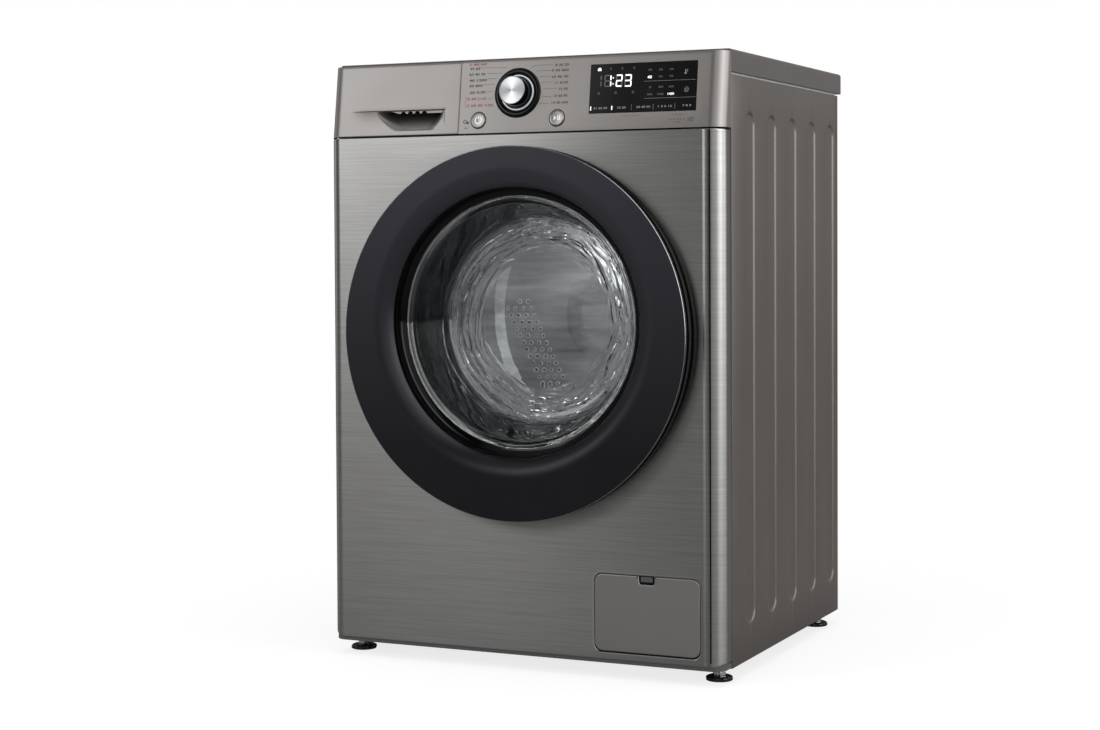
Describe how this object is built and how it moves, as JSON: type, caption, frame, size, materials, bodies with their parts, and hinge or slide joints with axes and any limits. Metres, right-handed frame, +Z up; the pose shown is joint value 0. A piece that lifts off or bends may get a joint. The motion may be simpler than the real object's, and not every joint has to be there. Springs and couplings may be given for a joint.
{
  "type": "front load washing machine",
  "caption": "Freestanding front load washing machine with a steel front, black round door, dispenser drawer, dial, display and a suspended drum.",
  "frame": {"origin": "on the floor under the middle of the overall box", "axes": "+X to the right seen from the front, +Y to the back, +Z up; the door faces -Y"},
  "size_m": [0.6, 0.565, 0.85],
  "materials": {
    "painted_body": "satin paint, dark warm grey",
    "brushed_front": "horizontal brushed grain",
    "rear_steel": "satin paint, dark grey",
    "galvanised": "galvanised sheet",
    "top_trim": "fine grained, dark warm grey",
    "top_surface": "fine grained board, dark grey",
    "fascia_silver": "silver paint with a fine metallic grain",
    "window_black": "high gloss",
    "black_plastic": "gloss",
    "trim_black": "gloss",
    "ring_satin": "satin black",
    "bowl_glass": "clear, slightly green at its edge",
    "dial_metal": "spun metal",
    "button_silver": "silver paint",
    "base_plastic": "moulded",
    "inner_plastic": "moulded, white",
    "tub_plastic": "moulded, filled with glass fibre",
    "gasket_rubber": "smooth grey rubber",
    "concrete": "cast concrete",
    "copper_windings": "varnished copper wire",
    "bearing_steel": "ground steel",
    "drum_steel": "stainless sheet",
    "lifter_plastic": "moulded",
    "cast_aluminium": "die cast",
    "rotor_steel": "pressed steel",
    "filter_plastic": "moulded",
    "foot_rubber": "matt"
  },
  "bodies": {
    "cabinet": {"base_tray": "base_plastic", "side_panel_left": "painted_body", "side_panel_right": "painted_body", "front_panel": "brushed_front", "rear_panel": "rear_steel", "rear_access_cover": "rear_steel", "top_brace": "galvanised", "top_frame_front": "top_trim", "top_frame_rear": "top_trim", "top_board": "top_surface", "control_fascia": "fascia_silver", "display_window": "window_black", "control_board": "inner_plastic", "dial_bezel": "window_black", "dispenser_housing": "inner_plastic", "door_hinge_bracket": "galvanised", "door_lock": "inner_plastic", "door_gasket": "gasket_rubber", "water_inlet_valve": "inner_plastic", "inlet_hose": "gasket_rubber", "dispenser_hose": "gasket_rubber", "sump_hose": "gasket_rubber", "drain_pump": "inner_plastic", "service_recess": "base_plastic", "drain_outlet": "base_plastic", "cord_gland": "black_plastic", "suspension_springs": "galvanised"},
    "tub": {"tub_front": "tub_plastic", "tub_rear": "tub_plastic", "counterweights": "concrete", "stator": "copper_windings", "bearings": "bearing_steel", "heater": "bearing_steel"},
    "drum": {"drum_shell": "drum_steel", "drum_back": "drum_steel", "drum_lifters": "lifter_plastic", "drum_spider": "cast_aluminium", "drum_shaft": "bearing_steel", "rotor": "rotor_steel"},
    "door": {"door_ring": "ring_satin", "door_frame": "black_plastic", "door_trim": "trim_black", "door_glass": "bowl_glass", "door_hinge_leaf": "galvanised", "door_hook": "galvanised"},
    "drawer": {"drawer_front": "fascia_silver", "drawer_tray": "inner_plastic"},
    "dial": {"dial_knob": "dial_metal"},
    "power_button": {"power_button": "button_silver"},
    "start_button": {"start_button": "button_silver"},
    "hatch": {"service_hatch": "brushed_front"},
    "filter": {"pump_filter": "filter_plastic"},
    "foot_front_left": {"foot_front_left": "foot_rubber"},
    "foot_front_right": {"foot_front_right": "foot_rubber"},
    "foot_rear_left": {"foot_rear_left": "foot_rubber"},
    "foot_rear_right": {"foot_rear_right": "foot_rubber"},
    "damper_tube_left": {"damper_tube_left": "inner_plastic"},
    "damper_tube_right": {"damper_tube_right": "inner_plastic"},
    "damper_rod_left": {"damper_rod_left": "base_plastic"},
    "damper_rod_right": {"damper_rod_right": "base_plastic"}
  },
  "joints": [
    {"name": "tub_float", "type": "slide", "parent": "cabinet", "child": "tub", "axis": [0, 0, 1], "range_m": [-0.008, 0.008], "stiffness_N_per_m": 24000, "springref_m": 0.00982, "deforming": ["suspension_springs", "door_gasket", "dispenser_hose", "sump_hose"]},
    {"name": "drum_spin", "type": "hinge", "parent": "tub", "child": "drum", "pos_m": [0, 0, 0.482], "axis": [0, 1, 0], "continuous": true},
    {"name": "door_hinge", "type": "hinge", "parent": "cabinet", "child": "door", "pos_m": [-0.2465, -0.2714, 0.4672], "axis": [0, 0, -1], "range_deg": [0, 150]},
    {"name": "drawer_slide", "type": "slide", "parent": "cabinet", "child": "drawer", "axis": [0, -1, 0], "range_m": [0, 0.2]},
    {"name": "dial_turn", "type": "hinge", "parent": "cabinet", "child": "dial", "pos_m": [-0.0015, -0.2474, 0.799], "axis": [0, -0.9907, 0.1358], "continuous": true},
    {"name": "power_press", "type": "slide", "parent": "cabinet", "child": "power_button", "axis": [0, 0.9907, -0.1358], "range_m": [0, 0.001], "stiffness_N_per_m": 800, "springref_m": -0.0015},
    {"name": "start_press", "type": "slide", "parent": "cabinet", "child": "start_button", "axis": [0, 0.9907, -0.1358], "range_m": [0, 0.001], "stiffness_N_per_m": 800, "springref_m": -0.0015},
    {"name": "hatch_hinge", "type": "hinge", "parent": "cabinet", "child": "hatch", "pos_m": [0.1905, -0.2519, 0.046], "axis": [1, 0, 0], "range_deg": [0, 90]},
    {"name": "filter_turn", "type": "hinge", "parent": "cabinet", "child": "filter", "pos_m": [0.15, -0.2349, 0.092], "axis": [0, -1, 0], "range_deg": [0, 180]},
    {"name": "foot_front_left_height", "type": "slide", "parent": "cabinet", "child": "foot_front_left", "axis": [0, 0, -1], "range_m": [0, 0.018]},
    {"name": "foot_front_right_height", "type": "slide", "parent": "cabinet", "child": "foot_front_right", "axis": [0, 0, -1], "range_m": [0, 0.018]},
    {"name": "foot_rear_left_height", "type": "slide", "parent": "cabinet", "child": "foot_rear_left", "axis": [0, 0, -1], "range_m": [0, 0.018]},
    {"name": "foot_rear_right_height", "type": "slide", "parent": "cabinet", "child": "foot_rear_right", "axis": [0, 0, -1], "range_m": [0, 0.018]},
    {"name": "damper_left_swing", "type": "hinge", "parent": "cabinet", "child": "damper_tube_left", "pos_m": [-0.195, 0.01, 0.058], "axis": [0, 1, 0], "range_deg": [-1, 1]},
    {"name": "damper_left_slide", "type": "slide", "parent": "damper_tube_left", "child": "damper_rod_left", "axis": [0.2425, 0, 0.9701], "range_m": [-0.009, 0.009]},
    {"name": "damper_right_swing", "type": "hinge", "parent": "cabinet", "child": "damper_tube_right", "pos_m": [0.195, 0.01, 0.058], "axis": [0, 1, 0], "range_deg": [-1, 1]},
    {"name": "damper_right_slide", "type": "slide", "parent": "damper_tube_right", "child": "damper_rod_right", "axis": [-0.2425, 0, 0.9701], "range_m": [-0.009, 0.009]}
  ],
  "couplings": [
    {"joint": "damper_left_swing", "follows": "tub_float", "rad_per_m": -1.2516},
    {"joint": "damper_left_slide", "follows": "tub_float", "ratio": 0.97014},
    {"joint": "damper_right_swing", "follows": "tub_float", "rad_per_m": 1.2516},
    {"joint": "damper_right_slide", "follows": "tub_float", "ratio": 0.97014}
  ]
}
